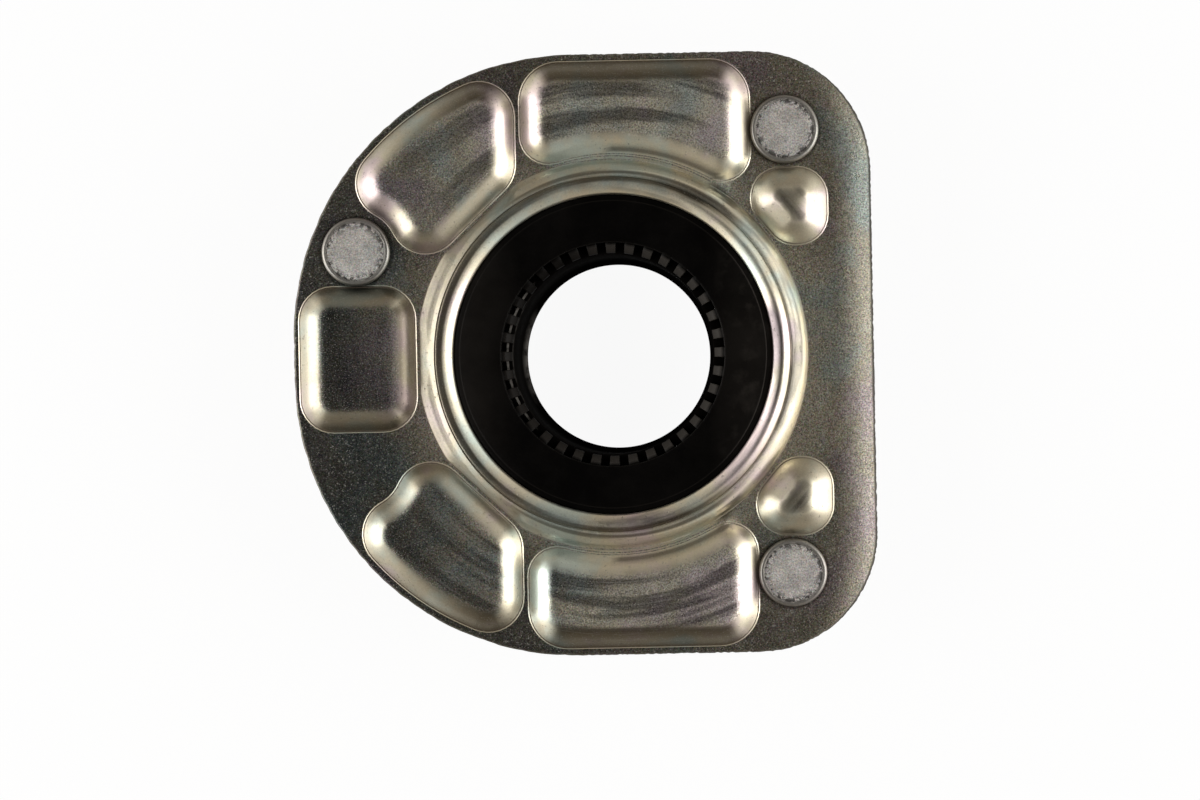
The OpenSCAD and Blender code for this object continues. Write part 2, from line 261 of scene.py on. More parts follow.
pieces = []
creases = [dark for *_, dark in PAD_RINGS] + [0] * 5
for name, corners in (("long", long_pad), ("slanted", slant_pad)):
    for side in (corners, mirrored(corners)):
        pieces.append(loft(f"{name}_pad", raised(side, PAD_RINGS, SHEET), cap=True, crease=creases))
        pieces.append(loft(f"{name}_hollow", raised(side, HOLLOW_RINGS, 0), cap=True))

# The end pad falls off late and steeply towards the rim
STEEP_FROM, STEEP_TO = -61, -53
STEEP = [
    0, 0, 0.01, 0.1, 0.18, 0.21, 0.22, 0.28, 0.46, 1.17, 2.02, 2.76, 3.28, 3.6, 3.87, 4.08, 4.24, 4.36, 4.45,
    4.5, 4.53]
end_rings = []
for points, (_, h, _), steep in zip(raised(end_pad, PAD_RINGS, SHEET), PAD_RINGS, STEEP):
    ring = []
    for (x, y, z), bare in zip(points, outline(end_pad)):
        ring.append((x, y, z + (steep - h) * smooth(STEEP_FROM, STEEP_TO, bare.x)))
    end_rings.append(ring)
pieces.append(loft("end_pad", end_rings, cap=True, crease=creases))
pieces.append(loft("end_hollow", raised(end_pad, HOLLOW_RINGS, 0), cap=True))
for side in (bubble, mirrored(bubble)):
    pieces.append(loft("bubble", domed(side, SHEET, BUBBLE_HEIGHT), cap=True, crease=creases))
    pieces.append(loft("bubble_hollow", domed(side, 0, BUBBLE_HOLLOW), cap=True))

# The rim, its seam with the flange of the cup, the cup itself, and back up its outside to the plate's far
# face. The bush leans, so the rim is a low ramp on the plate's rounded side and a steep wall on the other.
TURNS = 240
RIM_FOOT, FOOT_BY_SLANT, FOOT_BY_END = 50.7, 49.15, 50.1
turn_angles = [2 * pi * k / TURNS for k in range(TURNS)]


def rim_foot(a):
    """Radius of the rim's foot, held back where a slanted pad or the end pad stands close to it."""
    slant = max(cos(abs(atan2(sin(a), cos(a))) - radians(SLANT_ANGLE)), 0.1)
    return min(RIM_FOOT - 0.3 * cos(a), FOOT_BY_SLANT / slant, FOOT_BY_END / max(-cos(a), 0.1))


def on_plate(r, a, z, raise_by=1.0):
    x, y = r * cos(a), r * sin(a)
    return (x, y, z + raise_by * ledge(x, y))


def eased(left, right, a):
    """A pair of values on its way from the rounded side to the straight one."""
    t = (1 + cos(a)) / 2
    return [u + (v - u) * t for u, v in zip(left, right)]


# Radius past the foot and rise on the rounded side, the same on the straight side, and painted crease shade
FOOT_ROWS = [
    ((0.6, 0), (0.6, 0), 0), ((0.42, 0), (0.42, 0), 0.3), ((0.25, 0.02), (0.25, 0.02), 1),
    ((0.05, 0.12), (0.05, 0.2), 0.5), ((-0.7, 0.3), (-0.2, 1), 0), ((-1.4, 0.5), (-0.4, 2.1), 0),
    ((-2.1, 0.7), (-0.62, 3.2), 0)]
# Radius and height along the bush's axis on the rounded side, the same on the straight side, and painted
# crease shade
RIM_ROWS = [
    ((47.6, 6.2), (49.35, 3.6), 0), ((47.3, 6.31), (49, 4.1), 0), ((47.05, 6.4), (48.5, 4.56), 0),
    ((46.8, 6.49), (47.9, 4.95), 0), ((46.6, 6.56), (47.3, 5.22), 0), ((46.45, 6.62), (46.7, 5.4), 0),
    ((46.36, 6.65), (46.3, 5.46), 0.1), ((46.28, 6.6), (46.2, 5.42), 0.5), ((46.24, 6.4), (46.15, 5.3), 1),
    ((46.12, 6.4), (46.03, 5.3), 1), ((46.06, 6.8), (45.98, 5.55), 0.4), ((45.98, 6.93), (45.85, 5.75), 0),
    ((45.8, 7), (45.5, 6.15), 0), ((45.5, 7), (45.1, 6.5), 0), ((45.1, 7), (44.7, 6.77), 0),
    ((44.8, 6.98), (44.3, 6.93), 0), ((44.4, 6.92), (43.9, 6.97), 0), ((44, 6.83), (43.5, 6.92), 0),
    ((43.6, 6.7), (43.1, 6.82), 0), ((43.2, 6.52), (42.7, 6.67), 0), ((42.8, 6.31), (42.35, 6.5), 0),
    ((42.4, 6.05), (42, 6.3), 0), ((42.05, 5.78), (41.7, 6.08), 0), ((41.72, 5.46), (41.53, 5.8), 0.2),
    ((41.53, 5.1), (41.46, 5.4), 0.8), ((41.5, 4.4), (41.5, 4.4), 1)]
CUP_ROWS = [
    (41.5, 3), (41.5, -19), (41.3, -19.75), (40.75, -20.3), (40, -20.5), (35.3, -20.5), (35, -20.8),
    (35, -22.6), (35.4, -23), (40, -23), (41.53, -22.7), (42.83, -21.83), (43.7, -20.53), (44, -19),
    (44, 3.2), (44.15, 3.7), (44.5, 3.95), (45, 3.9), (45.4, 3.6)]
BACK_ROWS = [(-2.45, 1.2), (-2.3, 0.6), (-2.0, 0.2), (-1.5, 0), (-1.3, 0)]
cup_rings = []
for i, (left, right, _) in enumerate(FOOT_ROWS):
    ring = []
    for a in turn_angles:
        past, rise = eased(left, right, a)
        ring.append(on_plate(rim_foot(a) + past, a, SHEET + rise, 1 - i / (len(FOOT_ROWS) - 1)))
    cup_rings.append(ring)
for left, right, _ in RIM_ROWS:
    ring = []
    for a in turn_angles:
        r, w = eased(left, right, a)
        ring.append(leaning(r, a, w))
    cup_rings.append(ring)
for r, w in CUP_ROWS:
    cup_rings.append([leaning(r, a, w) for a in turn_angles])
for past, z in BACK_ROWS:
    ring = []
    for a, above in zip(turn_angles, cup_rings[-1]):
        ring.append(on_plate(rim_foot(a) + past, a, min(z, above[2]), 0))
    cup_rings.append(ring)
rim_marks = [dark for *_, dark in FOOT_ROWS + RIM_ROWS] + [0] * len(CUP_ROWS + BACK_ROWS)
pieces.append(loft("rim_and_cup", cup_rings, crease=rim_marks))

RAGGED, RAGGED_WIDTH, EDGE_STEP = 0.26, 0.8, 0.42
SOFT_FROM, SOFT_TO = 50, 66


def border(sharp, soft):
    """A ring along the plate's edge from its inset and drop where the edge is sharp, and those on the
    straight side, which rolls off gently. The shears have left the outline itself a little ragged."""
    chips = random.Random(5)
    edge = outline(plate_corners, 0, EDGE_STEP, EDGE_STEP)
    ragged = [RAGGED * chips.random() ** 2.5 for _ in edge]
    ring = []
    for i, bare in enumerate(edge):
        t = smooth(SOFT_FROM, SOFT_TO, bare.x)
        d = sharp[0] + (soft[0] - sharp[0]) * t
        drop = sharp[1] + (soft[1] - sharp[1]) * t
        inwards = edge[(i + 1) % len(edge)] - edge[i - 1]
        inwards = Vector((-inwards.y, inwards.x)).normalized()
        d += (ragged[i] + ragged[i - 1]) / 2 * max(0, 1 - d / RAGGED_WIDTH)
        ring.append((*(bare + inwards * d), SHEET - drop))
    return ring


# Inset and drop where the edge is sharp, the same where it is soft, and how torn it is
EDGE_ROWS = [
    ((1.7, 0), (9.6, 0), 0), ((1.55, 0), (7.7, 0.03), 0), ((1.4, 0), (5.8, 0.12), 0),
    ((1.2, 0), (3.9, 0.28), 0), ((1, 0), (2.4, 0.46), 0), ((0.7, 0.005), (1.2, 0.61), 0.05),
    ((0.4, 0.02), (0.85, 0.66), 0.35), ((0.18, 0.06), (0.55, 0.71), 0.85), ((0.05, 0.15), (0.05, 0.86), 1),
    ((0, 0.32), (0, 1.02), 1), ((0, 1.3), (0, 1.5), 1), ((0.04, 1.5), (0.04, 1.7), 1),
    ((0.04, 2.38), (0.04, 2.38), 1), ((0.14, 2.5), (0.14, 2.5), 0.3), ((0.9, 2.5), (0.9, 2.5), 0)]
edge_rings = [border(sharp, soft) for sharp, soft, _ in EDGE_ROWS]
pieces.append(loft("sheared_edge", edge_rings, shear=[torn for *_, torn in EDGE_ROWS]))
HOLE_ROWS = [(HOLE_BORDER, SHEET), (COLLAR_R, SHEET), (COLLAR_R, 0), (HOLE_BORDER, 0)]
for x, y in STUDS:
    pieces.append(loft("stud_hole", [circle(x, y, r, z, HOLE_POINTS) for r, z in HOLE_ROWS]))


def join(parts):
    deselect()
    for part in parts:
        part.select_set(True)
    bpy.context.view_layer.objects.active = parts[0]
    bpy.ops.object.join()
    return parts[0]


def sheet_face(name, loops):
    """The flat of the sheet, filled between its border and all the loops inside it."""
    face = join([loft(name, [loop]) for loop in loops])
    bpy.ops.object.mode_set(mode="EDIT")
    bpy.ops.mesh.select_all(action="SELECT")
    bpy.ops.mesh.fill(use_beauty=True)
    bpy.ops.object.mode_set(mode="OBJECT")
    return face


all_pads = [long_pad, mirrored(long_pad), slant_pad, mirrored(slant_pad), end_pad, bubble, mirrored(bubble)]
for name, ring, rows, z in (("spring_face", 0, PAD_RINGS, SHEET), ("tower_face", -1, HOLLOW_RINGS, 0)):
    pad_loops = [raised(corners, rows[:1], z)[0] for corners in all_pads]
    hole_loops = [circle(x, y, HOLE_BORDER, z, HOLE_POINTS) for x, y in STUDS]
    pieces.append(sheet_face(name, [edge_rings[ring], cup_rings[ring], *pad_loops, *hole_loops]))


def finish(piece, name, angle=40):
    """Welds a piece, turns its faces outwards and shades it smooth, with its sharper edges kept."""
    deselect()
    piece.select_set(True)
    bpy.context.view_layer.objects.active = piece
    bpy.ops.object.mode_set(mode="EDIT")
    bpy.ops.mesh.select_all(action="SELECT")
    bpy.ops.mesh.remove_doubles(threshold=1e-6)
    bpy.ops.mesh.normals_make_consistent(inside=False)
    bpy.ops.object.mode_set(mode="OBJECT")
    bpy.ops.object.shade_smooth_by_angle(angle=radians(angle))
    piece.name = piece.data.name = name
    return piece


plate = finish(join(pieces), "plate", 50)


def band(value, low, high):
    """One between low and high, with soft ends."""
    return smooth(low - 0.15, low + 0.15, value) * (1 - smooth(high - 0.15, high + 0.15, value))


def from_axis(x, y, z):
    """Distance of a point from the bush's axis."""
    return hypot(x * cos(LEAN) + z * sin(LEAN), y)


def fields(piece, *names):
    """The values of a piece's attributes by name, each made where it isn't there yet."""
    for name in names:
        if name not in piece.data.attributes:
            piece.data.attributes.new(name, "FLOAT", "POINT")
    return [piece.data.attributes[name].data for name in names]


# The press has stretched the rolls and slopes smooth. Painted shade darkens the outermost slopes, some slopes
# of the end and slanted pads, the bubbles, some bands of the rim and the slope where rim and pad run
# together, where there is no crease.
RIM_REACH, PADS_FROM, FOOT_TOP = 50.4, 51.2, SHEET + 0.1
BUBBLE_LEFT, BUBBLE_TOP = 36.5, 48
END_TOP, SLANTED_TO = 19, -24
rolls, painted_shades, darks = fields(plate, "rolled", "painted_shade", "crease")
for vertex, roll, shade_and_matte, dark in zip(plate.data.vertices, rolls, painted_shades, darks):
    x, y, z = vertex.co / MM
    normal = vertex.normal
    slope = max(hypot(normal.x, normal.y), 0.02)
    r, reach, valley = from_axis(x, y, z), hypot(x, y), ledge(x, y)
    roll.value = smooth(0.998, 0.93, normal.z)
    dark.value *= 1 - 0.9 * valley
    if 45.5 < reach < 46.9:
        dark.value *= 1 - 0.75 * smooth(0, 46, x)
    if r < RIM_REACH and z > SHEET:
        roll.value = max(roll.value, 0.9)
        left = max(band(r, 44.2, 46.05), 0.5 * band(r, 46.3, 52)) * smooth(0.2, -0.7, x / r)
        ends = max(band(r, 44.8, 46.05), 0.85 * band(r, 46.75, 47.75)) * smooth(0.55, 0.9, abs(y) / r)
        shade_and_matte.value = max(left, ends)
    elif x > BUBBLE_LEFT and abs(y) < BUBBLE_TOP:
        roll.value = 1.0 if z > FOOT_TOP else roll.value
        shade_and_matte.value = max(0.62 * smooth(0.42, 0.05, slope), 0.42 * smooth(0.3, 0.5, slope))
    elif reach > PADS_FROM and z > FOOT_TOP:
        to_right, outwards = normal.x / slope, normal.y * (1 if y > 0 else -1) / slope
        outer = smooth(0.7, 0.95, outwards) * smooth(8, 19, abs(y))
        if abs(y) < END_TOP:
            outer = max(outer, smooth(0.5, 0.9, to_right), 0.5 * smooth(0.5, 0.9, -to_right))
        elif x < SLANTED_TO:
            notch = smooth(17, 13, hypot(x - STUDS[0][0], abs(y) - STUDS[0][1]))
            outer = max(outer, 0.62 * smooth(0.93, 0.6, abs(to_right)))
            outer = max(outer, (0.2 + 0.3 * notch) * smooth(0.6, 0.9, -to_right))
        shade_and_matte.value = outer * smooth(0.03, 0.2, slope)
    if 48.5 < reach < 54.5 and x > 0:
        fading = smooth(0.02, 0.2, valley) * (1 - smooth(0.85, 0.99, valley))
        shade_and_matte.value = max(shade_and_matte.value, 0.75 * fading)


def group(name, inputs, outputs):
    """An empty shader node group with named sockets, and its two ends."""
    tree = bpy.data.node_groups.new(name, "ShaderNodeTree")
    for kind, label, value in inputs:
        socket = tree.interface.new_socket(label, in_out="INPUT", socket_type=kind)
        socket.default_value = value
    for kind, label in outputs:
        tree.interface.new_socket(label, in_out="OUTPUT", socket_type=kind)
    return tree, tree.nodes.new("NodeGroupInput").outputs, tree.nodes.new("NodeGroupOutput").inputs


def add(tree, kind, **values):
    """A node with its properties, and with its inputs set or linked by name or number."""
    node = tree.nodes.new("ShaderNode" + kind)
    inputs = values.pop("inputs", {})
    for label, value in values.items():
        setattr(node, label, value)
    for label, value in inputs.items():
        if isinstance(value, bpy.types.NodeSocket):
            tree.links.new(value, node.inputs[label])
        else:
            node.inputs[label].default_value = value
    return node


def noise(tree, place, scale, detail=2.0, rough=0.5, output="Fac"):
    return add(tree, "TexNoise", inputs={
        "Vector": place, "Scale": scale, "Detail": detail, "Roughness": rough}).outputs[output]


def ramp(tree, value, low, high, dark=0.0, bright=1.0):
    """Value, moved from the range low to high into the range dark to bright, and held there."""
    return add(tree, "MapRange", clamp=True, inputs={
        "Value": value, "From Min": low, "From Max": high,
        "To Min": dark, "To Max": bright}).outputs["Result"]


def maths(tree, operation, a, b=0.0):
    return add(tree, "Math", operation=operation, inputs={0: a, 1: b}).outputs[0]


def times(tree, a, b):
    return maths(tree, "MULTIPLY", a, b)


def plus(tree, a, b):
    return maths(tree, "ADD", a, b)


def vector(tree, operation, a, b=(0, 0, 0)):
    return add(tree, "VectorMath", operation=operation, inputs={0: a, 1: b}).outputs


def apart(tree, place):
    return add(tree, "SeparateXYZ", inputs={"Vector": place}).outputs


def carried(tree, name):
    """A value that the mesh carries in an attribute."""
    return add(tree, "Attribute", attribute_name=name).outputs["Fac"]


def mix(tree, share, a, b, blend="MIX"):
    return add(tree, "Mix", data_type="RGBA", blend_type=blend, inputs={0: share, 6: a, 7: b}).outputs[2]


def rgb(r, g, b):
    return (r, g, b, 1.0)


# Zinc on pressed steel: a faint rainbow in broad drifts, pale and dark crystals, specks, and a fine grain
FLOAT, COLOR, VECTOR = "NodeSocketFloat", "NodeSocketColor", "NodeSocketVector"
TEAL, STRAW, ROSE = rgb(0.82, 0.98, 0.97), rgb(1, 0.96, 0.8), rgb(1, 0.87, 0.95)
MOTTLE, SPECK = rgb(0.5, 0.49, 0.48), rgb(0.09, 0.085, 0.08)
zinc, given, result = group(
    "zinc_coating",
    [(VECTOR, "Place", (0, 0, 0)), (COLOR, "Base", rgb(0.6, 0.58, 0.53)), (FLOAT, "Rainbow", 0.5),
     (FLOAT, "Specks", 0.5), (FLOAT, "Grain", 1.0)],
    [(COLOR, "Color"), (FLOAT, "Roughness"), (FLOAT, "Height")])
place = given["Place"]
drift = noise(zinc, place, 42, 4, 0.6)
tint = mix(zinc, ramp(zinc, drift, 0.38, 0.5), TEAL, STRAW)
tint = mix(zinc, ramp(zinc, drift, 0.53, 0.64), tint, ROSE)
colour = mix(zinc, given["Rainbow"], given["Base"], tint, "MULTIPLY")
cloud = noise(zinc, place, 130, 5, 0.65)
mottling = times(zinc, ramp(zinc, cloud, 0.3, 0.7, 0, 0.5), ramp(zinc, given["Grain"], 0, 0.6, 0.15, 1))
colour = mix(zinc, mottling, colour, MOTTLE, "MULTIPLY")
grain = noise(zinc, place, 2300, 3, 0.7)
colour = mix(zinc, given["Grain"], colour, ramp(zinc, grain, 0.37, 0.67, 0.48, 1.72), "MULTIPLY")
sparkle = noise(zinc, place, 2900, output="Color")
colour = mix(zinc, times(zinc, given["Grain"], 0.55), colour, sparkle, "OVERLAY")
speck = ramp(zinc, noise(zinc, place, 1150, 2, 0.6), 0.62, 0.7)
patch = ramp(zinc, noise(zinc, place, 90, 3, 0.6), 0.36, 0.62, 0.1, 1)
specks = times(zinc, times(zinc, speck, patch), given["Specks"])
zinc.links.new(mix(zinc, specks, colour, SPECK), result["Color"])
roughness = plus(zinc, ramp(zinc, cloud, 0.3, 0.7, 0.24, 0.36), times(zinc, specks, 0.3))
zinc.links.new(roughness, result["Roughness"])
height = maths(zinc, "SUBTRACT", times(zinc, grain, given["Grain"]), times(zinc, specks, 0.5))
zinc.links.new(height, result["Height"])


def material(name):
    """A new material, its tree, its shader's inputs and its object coordinates."""
    surface = bpy.data.materials.new(name)
    surface.use_nodes = True
    tree = surface.node_tree
    return surface, tree, tree.nodes["Principled BSDF"].inputs, add(tree, "TexCoord").outputs["Object"]


def use(tree, wanted, **inputs):
    """A node group placed in a material, with its inputs."""
    values = {name.capitalize(): value for name, value in inputs.items()}
    return add(tree, "Group", node_tree=wanted, inputs=values).outputs


def bump(tree, height, distance, strength=1.0, over=None):
    """A normal raised by height, over another normal where one is given."""
    inputs = {"Height": height, "Distance": distance, "Strength": strength}
    if over:
        inputs["Normal"] = over
    return add(tree, "Bump", inputs=inputs).outputs["Normal"]


def arcs_about_bore(tree, turn, reach, across):
    """Coordinates for marks drawn out in arcs about the bore, with so many of them across a metre."""
    return add(tree, "CombineXYZ", inputs={
        "X": turn["X"], "Y": turn["Y"], "Z": times(tree, reach, across)}).outputs[0]


# Painted light: the sheet and the pads are coloured darker towards the left and lower left and lighter
# towards the right, as the light falls on them, the pads more strongly than the sheet between them. The sheet
# is also coloured lighter near the rim, and carries a painted highlight along its rolled right edge.
SHEET_SHADED, SHEET_LIT = rgb(0.125, 0.127, 0.124), rgb(0.3, 0.275, 0.24)
BY_RIM, EDGE_ROLL_HIGHLIGHT = rgb(0.62, 0.57, 0.5), rgb(0.66, 0.635, 0.59)
PAD_SHADED, PAD_LIT = rgb(0.1, 0.1, 0.098), rgb(0.92, 0.88, 0.815)
SLOPE_BRIGHT, SLOPE_SHADED = rgb(0.78, 0.745, 0.685), rgb(0.15, 0.135, 0.115)
plated, tree, shader, place = material("zinc_plated_sheet")
parts = apart(tree, place)
flat = add(tree, "CombineXYZ", inputs={"X": parts["X"], "Y": parts["Y"]}).outputs[0]
reach = vector(tree, "LENGTH", flat)["Value"]
upward = plus(tree, parts["X"], times(tree, parts["Y"], 0.35))
# Painted light on the sheet: darker to the left and lower left, lighter to the right and upper right
sheet = mix(tree, ramp(tree, upward, -0.085, 0.06), SHEET_SHADED, SHEET_LIT)
sheet = mix(tree, ramp(tree, reach, 0.065, 0.052, 0, 0.65), sheet, BY_RIM)
# A painted highlight along the rolled right edge of the sheet
sheet = mix(tree, ramp(tree, parts["X"], 0.057, 0.065), sheet, EDGE_ROLL_HIGHLIGHT)
aslant = plus(tree, parts["X"], times(tree, parts["Y"], 0.22))
# Painted light on the pads: darker to the left and lower left, lighter to the right
pad = mix(tree, ramp(tree, aslant, -0.07, -0.017), PAD_SHADED, PAD_LIT)
base = mix(tree, ramp(tree, parts["Z"], 0.0032, 0.0062), sheet, pad)
rolled = carried(tree, "rolled")
# The slopes take the bright slope colour, darkened by painted shade where the loop above has marked them
base = mix(tree, rolled, base, mix(tree, carried(tree, "painted_shade"), SLOPE_BRIGHT, SLOPE_SHADED))
coating = use(
    tree, zinc, place=place, base=base, specks=0.6, rainbow=ramp(tree, rolled, 0, 1, 0.8, 0.9),
    grain=ramp(tree, rolled, 0, 1, 1, 0.12))
colour = coating["Color"]

# Dark smears and bright scuffs run in arcs about the bore, where parts have been turned against the pads
SMEAR, SCUFF = rgb(0.22, 0.22, 0.23), rgb(0.85, 0.82, 0.77)
around = vector(tree, "NORMALIZE", flat)["Vector"]
turn = apart(tree, vector(tree, "MULTIPLY", around, (1.7, 1.7, 1.7))["Vector"])
smear = ramp(tree, noise(tree, arcs_about_bore(tree, turn, reach, 300.0), 1, 3, 0.5), 0.44, 0.6)
smear = times(tree, smear, ramp(tree, parts["Z"], 0.0063, 0.007))
smear = times(tree, smear, ramp(tree, parts["X"], -0.062, -0.03, 0.15, 1))
colour = mix(tree, times(tree, smear, 0.85), colour, SMEAR, "MULTIPLY")
scuff = ramp(tree, noise(tree, arcs_about_bore(tree, turn, reach, 1700.0), 1, 2), 0.56, 0.72)
scuff = times(tree, scuff, ramp(tree, noise(tree, place, 60, 2), 0.42, 0.62))
wear_and_glint = times(tree, ramp(tree, rolled, 0, 1, 1, 0.2), ramp(tree, parts["Z"], 0.003, 0.0066, 0.1, 0.5))
wear_and_glint = times(tree, wear_and_glint, ramp(tree, parts["X"], -0.062, -0.02, 0.1, 1))
colour = mix(tree, times(tree, scuff, wear_and_glint), colour, SCUFF)

# Fine bright specks, where grains of the zinc catch the light, and a painted shadow round each stud's head
# where it sits on the sheet
GLINT, STUD_SHADOW = rgb(1, 0.97, 0.91), rgb(0.12, 0.105, 0.09)
glint = ramp(tree, noise(tree, place, 3000, 1), 0.6, 0.74)
glint = times(tree, glint, ramp(tree, rolled, 0, 1, 0.4, 0.1))
colour = mix(tree, glint, colour, GLINT)
# A ring of painted shadow round each stud's head
for x, y in STUDS:
    away = vector(tree, "DISTANCE", flat, (x * MM, y * MM, 0))["Value"]
    colour = mix(tree, ramp(tree, away, 0.0099, 0.0089, 0, 0.75), colour, STUD_SHADOW, "MULTIPLY")

# Painted shade in the creases, the torn metal of the edge, and broad shallow dents under the grain
CREASE_SHADE, TORN_DARK, TORN_PALE = rgb(0.1, 0.075, 0.055), rgb(0.012, 0.011, 0.01), rgb(0.07, 0.065, 0.058)
crease, shear = carried(tree, "crease"), carried(tree, "shear")
colour = mix(tree, times(tree, crease, 0.85), colour, CREASE_SHADE)
torn = add(tree, "Mapping", inputs={"Vector": place, "Scale": (1, 1, 0.18)}).outputs["Vector"]
tears = noise(tree, torn, 1400, 3, 0.6)
colour = mix(tree, shear, colour, mix(tree, tears, TORN_DARK, TORN_PALE))
tree.links.new(colour, shader["Base Color"])
roughness = plus(tree, coating["Roughness"], times(tree, maths(tree, "MAXIMUM", crease, shear), 0.25))
roughness = plus(tree, roughness, times(tree, rolled, 0.07))
roughness = plus(tree, roughness, times(tree, glint, 0.3))
tree.links.new(roughness, shader["Roughness"])
dents = bump(tree, noise(tree, place, 60, 3, 0.5), 0.0005, 0.16)
tree.links.new(bump(tree, coating["Height"], 0.00006, 1.0, dents), shader["Normal"])
shader["Metallic"].default_value = 1.0


def dress(piece, surface, node):
    """Gives a piece its material, and puts it in the place of its CAD node."""
    piece.data.materials.clear()
    piece.data.materials.append(surface)
    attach(piece, "root")
    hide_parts(node)


dress(plate, plated, "mounting_plate")


# The rubber: moulded and bonded in the cup round the sleeve, black, and dull from dust. Its face carries a
# row of short ribs that stand over the sleeve's end and grip what is pushed into the bore.
RIBS, RIB_EDGE, RIB_ROUND_R, RIB_ROUND_W = 36, 2.5, 0.06, 0.08
RIB_TOP_R, RIB_TOP_W = 28.2, 2.8
EDGE_LINES, EDGE_LINE_W = ((29.03, 29.2), (39.85, 39.95)), 4.85
# Degrees from a rib's middle to each column of points, and whether the column is on the rib
RIB_COLUMNS = [
    (-2.72, False), (-RIB_EDGE, True), (-2.2, True), (0, True), (2.2, True), (RIB_EDGE, True), (2.72, False),
    (3.8, False), (5.0, False), (6.2, False)]
columns = []
for i in range(RIBS):
    for offset, on_rib in RIB_COLUMNS:
        columns.append((i * 2 * pi / RIBS + radians(offset), on_rib, abs(offset) == RIB_EDGE))
# Radius and height along the bush's axis: the face, a rib, the gap between two ribs, and the rest
FACE_ROWS = [
    (41.46, 3.9), (41.4, 4.3), (41.2, 4.6), (40.9, 4.72), (40.25, 4.74), (40.05, 4.78), (39.9, 4.93),
    (39.6, 5), (36, 5), (32, 5), (29.7, 5), (29.3, 4.99)]
RIB_ROWS = [
    (29.08, 4.9), (28.98, 4.62), (28.8, 4.52), (28.1, 4.46), (27.95, 4.4), (26.52, 2.95), (26.4, 2.75),
    (26.4, 1.58)]
GAP_ROWS = [
    (29.1, 4.9), (29.02, 4.66), (29, 4.3), (29, 3.8), (29, 3.2), (29, 2.6), (29, 2), (29, 1.58)]
UNDER_ROWS = [
    (29, 1.54), (29.02, -24.9), (29.2, -25.3), (29.7, -25.5), (33.9, -25.5), (34.6, -25.3), (34.92, -24.8),
    (34.95, -23), (34.95, -20.55), (40, -20.55), (40.8, -20.3), (41.46, -19), (41.46, 3.9)]
rings = [[leaning(r, a, w) for a, _, _ in columns] for r, w in FACE_ROWS]
for rib_row, gap_row in zip(RIB_ROWS, GAP_ROWS):
    ring = []
    for a, on_rib, on_edge in columns:
        r, w = rib_row if on_rib else gap_row
        ring.append(leaning(r + RIB_ROUND_R * on_edge, a, w - RIB_ROUND_W * on_edge))
    rings.append(ring)
rings += [[leaning(r, a, w) for a, _, _ in columns] for r, w in UNDER_ROWS]
rubber = finish(loft("rubber", rings), "rubber", 32)
tops, lines = fields(rubber, "rib_top", "edge_line")
for vertex, top, edge in zip(rubber.data.vertices, tops, lines):
    x, y, z = vertex.co / MM
    r = from_axis(x, y, z)
    w = -x * sin(LEAN) + z * cos(LEAN)
    top.value = 1.0 if r < RIB_TOP_R and w > RIB_TOP_W else 0.0
    on_line = any(low < r < high for low, high in EDGE_LINES)
    edge.value = 1.0 if w > EDGE_LINE_W and on_line else 0.0

# Dust: a thin film in patches, with grit in it
dust, given, result = group(
    "dust", [(VECTOR, "Place", (0, 0, 0)), (FLOAT, "Amount", 0.5)], [(FLOAT, "Mask"), (FLOAT, "Height")])
film = noise(dust, given["Place"], 70, 5, 0.65)
grit = ramp(dust, noise(dust, given["Place"], 1600, 2, 0.5), 0.6, 0.75)
mask = plus(dust, ramp(dust, film, 0.4, 0.72), times(dust, grit, 0.35))
dust.links.new(times(dust, mask, given["Amount"]), result["Mask"])
dust.links.new(noise(dust, given["Place"], 2600, 2, 0.5), result["Height"])

# The face is black. A painted sheen lightens it at its left and right, paler patches lie on its right, and a
# painted highlight runs along its edge lines, brighter on the right. The rib tops carry painted light, paler
# on the right than on the left and weaker on the upper left.
RUBBER_BLACK, RUBBER_DUST = rgb(0.0009, 0.0007, 0.0006), rgb(0.0032, 0.0027, 0.0022)
PALE_PATCH, SHEEN, EDGE_HIGHLIGHT = rgb(0.024, 0.021, 0.018), rgb(0.0105, 0.009, 0.0078), rgb(0.045, 0.04, 0.036)
RIB_SHADED, RIB_LIT = rgb(0.0105, 0.009, 0.0078), rgb(0.042, 0.038, 0.034)
DIM_RIBS_AT = (-0.0175, 0.0205, 0.0035)
black, tree, shader, place = material("dusty_rubber")
layer = use(tree, dust, place=place, amount=0.5)
colour = mix(tree, layer["Mask"], RUBBER_BLACK, RUBBER_DUST)
from_left = apart(tree, place)["X"]
# Paler patches on the right of the face
far_right = ramp(tree, from_left, 0.026, 0.036)
pale_patch = times(tree, far_right, ramp(tree, noise(tree, place, 190, 4, 0.6), 0.5, 0.7))
colour = mix(tree, times(tree, pale_patch, 0.85), colour, PALE_PATCH)
# A painted sheen at the face's left and right
at_sides = ramp(tree, maths(tree, "ABSOLUTE", from_left), 0.024, 0.037)
sheen = times(tree, at_sides, ramp(tree, noise(tree, place, 55, 4, 0.6), 0.35, 0.65, 0.2, 1))
colour = mix(tree, times(tree, sheen, 0.8), colour, SHEEN)
# A painted highlight along the face's edge lines, strongest on the right
edge_highlight = times(tree, carried(tree, "edge_line"), ramp(tree, far_right, 0, 1, 0.12, 1))
colour = mix(tree, edge_highlight, colour, EDGE_HIGHLIGHT)
